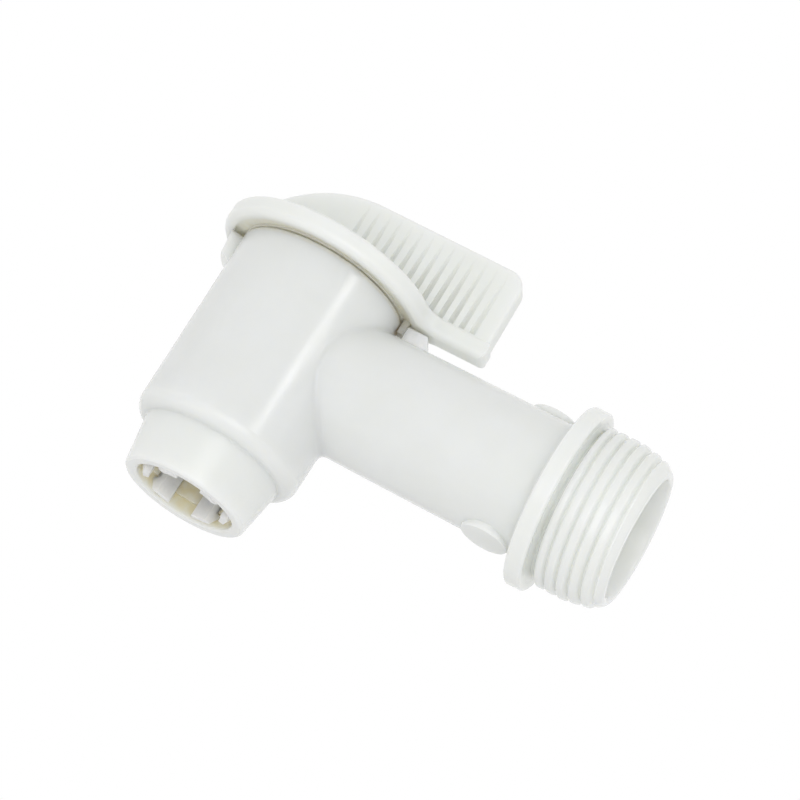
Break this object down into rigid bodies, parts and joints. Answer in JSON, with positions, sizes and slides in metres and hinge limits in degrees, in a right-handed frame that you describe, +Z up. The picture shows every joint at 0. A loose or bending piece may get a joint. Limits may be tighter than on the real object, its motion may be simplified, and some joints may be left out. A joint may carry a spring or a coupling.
{
  "type": "jerrycan tap",
  "caption": "White plastic plug tap for a jerrycan: threaded flanged inlet pipe, upright barrel with a short tapered spout below, and a turning plug with a ribbed lever on top.",
  "frame": {"origin": "centre of the flange's sealing face, on the axis of the inlet pipe", "axes": "+X along the inlet pipe towards the can, +Z up along the barrel, away from the spout"},
  "size_m": [0.0812, 0.036, 0.0571],
  "materials": {
    "body_moulding": "moulded white polyethylene, satin",
    "plug_moulding": "moulded white polyethylene, satin"
  },
  "bodies": {
    "body": {"tap_body": "body_moulding"},
    "plug": {"plug_lever": "plug_moulding"}
  },
  "joints": [
    {"name": "lever_turn", "type": "hinge", "parent": "body", "child": "plug", "pos_m": [-0.051, 0, 0], "axis": [0, 0, 1], "range_deg": [-161, 161]}
  ]
}
